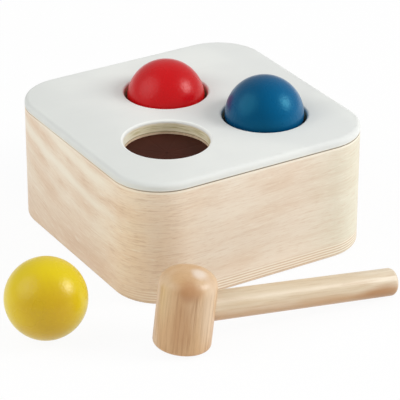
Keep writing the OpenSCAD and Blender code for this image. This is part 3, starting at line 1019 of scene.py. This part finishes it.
def make_grip(colour, drop, material):
    """Rim and petals of one ring, in place of its plain solid."""
    place = HOLES[colour]
    rim = add_piece(f"grip_rim_{colour}", lambda shape: fill_rim(shape, place), material)
    petals = add_piece(f"grip_petals_{colour}", lambda shape: fill_petals(shape, place, drop), material)
    for piece in (rim, petals):
        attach(piece, "bench")
        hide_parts(f"grip_ring_{colour}")
    if drop:
        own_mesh(petals)


def make_grips():
    """The three rings; no ball sits in the yellow ball's hole."""
    material = rubber()
    for colour, drop in (("red", RED_Z - RING_TOP), ("blue", BLUE_Z - RING_TOP), ("yellow", None)):
        make_grip(colour, drop, material)


# Finishes on the frame's own solids

# Each wall's axis, its side, its middle and way along the run round the box, and how plain it is
WALLS = (
    ("left", "X", -1, -MITRE_RUN, -1, 0.0),
    ("front", "Y", -1, MITRE_RUN, 1, 0.35),
    ("right", "X", 1, 3 * MITRE_RUN, 1, 0.30),
    ("back", "Y", 1, -3 * MITRE_RUN, -1, 0.10),
)

# Each hidden wood's name, the axis of its grain, its tones, its seed and the pieces cut from it
BOARDS = (
    ("wood_boards", "X", BOARD_TONES, 2.0, ("ring_board", "retainer_board", "base_panel")),
    ("wood_ramp", "Y", BOARD_TONES, 5.0, ("ramp_board",)),
    ("wood_rails", "Y", POST_TONES, 8.0, ("ramp_rail_left", "ramp_rail_mid", "ramp_rail_right")),
    ("wood_posts_front", "X", POST_TONES, 9.0, ("post_front_left", "post_front_right")),
    ("wood_posts_back", "X", POST_TONES, 11.0, ("post_back_left", "post_back_right")),
)


def dress(material, *names):
    """Gives a material to solids of the frame."""
    for name in names:
        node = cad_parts[name]
        node.data.materials.clear()
        node.data.materials.append(material)


def dress_bench():
    dress(plate_paint(), "top_plate")
    for wall, across, side, start, way, plain in WALLS:
        dress(wall_wood(f"wood_{wall}", across, side, start, way, plain), f"wall_{wall}")
    for name, along, tones, seed, pieces in BOARDS:
        dress(board_wood(name, along, tones, seed), *pieces)
    dress(screw_steel(), "plate_screws", "base_screws")


def dress_balls():
    red = ball_paint("red_paint", RED_AT, 0.4, RED_TONES, RED_TINT)
    blue = ball_paint("blue_paint", BLUE_AT, 1.3, BLUE_TONES, BLUE_TINT, BLUE_LIT_SIDE)
    yellow = ball_paint("yellow_paint", YELLOW_AT, 2.2, YELLOW_TONES, YELLOW_TINT, YELLOW_SHADED_SIDE)
    dress(red, "ball_red")
    dress(blue, "ball_blue")
    dress(yellow, "ball_yellow")


def dress_hammer():
    head = turned_wood(
        "hammer_wood", HEAD_ANGLES, HEAD_TONES, seed=4.0, ring=3.4, dark_share=0.66,
        calm=(12.0, 18.0), stains_and_light=HEAD_STAINS_AND_LIGHT,
    )
    handle = turned_wood(
        "handle_wood", HANDLE_ANGLES, HANDLE_TONES, seed=6.0, ring=4.6, dark_share=0.46,
        calm=(124.5, 126.5), stains_and_light=HANDLE_STAINS_AND_SHADE,
    )
    dress(head, "hammer_head")
    dress(handle, "hammer_handle")


# Camera, table and lights

# Soft round lamps: the way they stand from the bench, width in metres and power in watts
KEY_WAY = (0.676, -0.485, 0.537)
FILL_WAY = (-0.774, 0.178, 0.603)
LAMPS = (
    ("key_light", KEY_WAY, 1.90, 2.5),
    ("key_middle", KEY_WAY, 1.10, 32.0),
    ("fill_light", FILL_WAY, 2.70, 21.5),
    ("fill_middle", FILL_WAY, 0.70, 3.0),
)
LAMP_DISTANCE = 2.4
LAMP_TARGET = (-0.02, -0.02, 0.03)
ROOM_LIGHT = 0.52

# The table: half width in metres, how much of its white shows without shadow, and its paper's
# grain per metre, roughness, and depth in metres and strength of the relief
TABLE_HALF = 6.0
SEEN_SHARE = 0.93
PAPER_GRAIN = 900.0
PAPER_ROUGH = 0.8
PAPER_RELIEF = (0.00005, 0.3)


def camera_axes():
    """The camera's right, up and back directions."""
    azimuth = math.radians(CAMERA_AZIMUTH)
    rise = math.radians(CAMERA_ELEVATION)
    right = Vector((math.cos(azimuth), math.sin(azimuth), 0.0))
    back = Vector((
        math.sin(azimuth) * math.cos(rise),
        -math.cos(azimuth) * math.cos(rise),
        math.sin(rise),
    ))
    return right, back.cross(right), back


def make_camera():
    """Camera with the picture's own view, length of lens and middle."""
    right, up, back = camera_axes()
    data = bpy.data.cameras.new("camera")
    data.sensor_width = SENSOR_MM
    data.lens = CAMERA_FOCAL_PX * SENSOR_MM / PICTURE_PX
    data.shift_x = 0.5 - CAMERA_CENTRE_PX[0] / PICTURE_PX
    data.shift_y = CAMERA_CENTRE_PX[1] / PICTURE_PX - 0.5
    data.clip_start, data.clip_end = CLIP_M
    camera = bpy.data.objects.new("camera", data)
    bpy.context.collection.objects.link(camera)
    turn = Matrix((right, up, back)).transposed().to_4x4()
    at = (Vector(CAMERA_TARGET) + back * CAMERA_DISTANCE) * MM
    camera.matrix_world = Matrix.Translation(at) @ turn
    bpy.context.scene.camera = camera


def seen_white(paint):
    """A plain white glow, and the share of it that the camera and reflections see."""
    rays = ("Is Camera Ray", "Is Glossy Ray", "Is Transmission Ray")
    camera, glossy, through = [paint.node("ShaderNodeLightPath", out=ray) for ray in rays]
    glow = paint.node("ShaderNodeEmission", values={"Color": WHITE, "Strength": 1.0})
    return camera.over(glossy).over(through) * SEEN_SHARE, glow


def table_white():
    """White paper that keeps a faint shadow and otherwise shows as plain white."""
    paint = Paint("table_white")
    paper = paint.noise(paint.place(), PAPER_GRAIN, 3.0)
    dark, pale = TABLE_TONES
    paint.finish(paint.blend(paper, dark, pale), PAPER_ROUGH, paint.bump(paper, *PAPER_RELIEF))
    share, glow = seen_white(paint)
    lit = Signal(paint, paint.shader.outputs[0])
    mixed = paint.node("ShaderNodeMixShader", values={0: share, 1: lit, 2: glow})
    paint.feed(paint.tree.nodes["Material Output"].inputs["Surface"], mixed)
    return paint.material


def make_table():
    """Large table under everything, as stage."""
    mesh = bpy.data.meshes.new("table")
    signs = ((-1, -1), (1, -1), (1, 1), (-1, 1))
    corners = [(x * TABLE_HALF, y * TABLE_HALF, 0.0) for x, y in signs]
    mesh.from_pydata(corners, [], [(0, 1, 2, 3)])
    mesh.materials.append(table_white())
    table = bpy.data.objects.new("table", mesh)
    bpy.context.collection.objects.link(table)


def make_lamp(name, direction, width, watts):
    """Soft round lamp that looks at the bench from a direction."""
    data = bpy.data.lights.new(name, "AREA")
    data.shape = "DISK"
    data.size = width
    data.energy = watts
    lamp = bpy.data.objects.new(name, data)
    bpy.context.collection.objects.link(lamp)
    way = Vector(direction).normalized()
    lamp.location = way * LAMP_DISTANCE + Vector(LAMP_TARGET)
    lamp.rotation_euler = way.to_track_quat("Z", "Y").to_euler()


def make_room():
    """Even white light from all round."""
    world = bpy.data.worlds.new("studio")
    bpy.context.scene.world = world
    world.use_nodes = True
    sky = world.node_tree.nodes["Background"]
    sky.inputs["Color"].default_value = WHITE
    sky.inputs["Strength"].default_value = ROOM_LIGHT


bpy.context.scene.view_settings.view_transform = "Standard"
make_camera()
dress_bench()
make_grips()
dress_balls()
dress_hammer()
make_table()
for lamp in LAMPS:
    make_lamp(*lamp)
make_room()
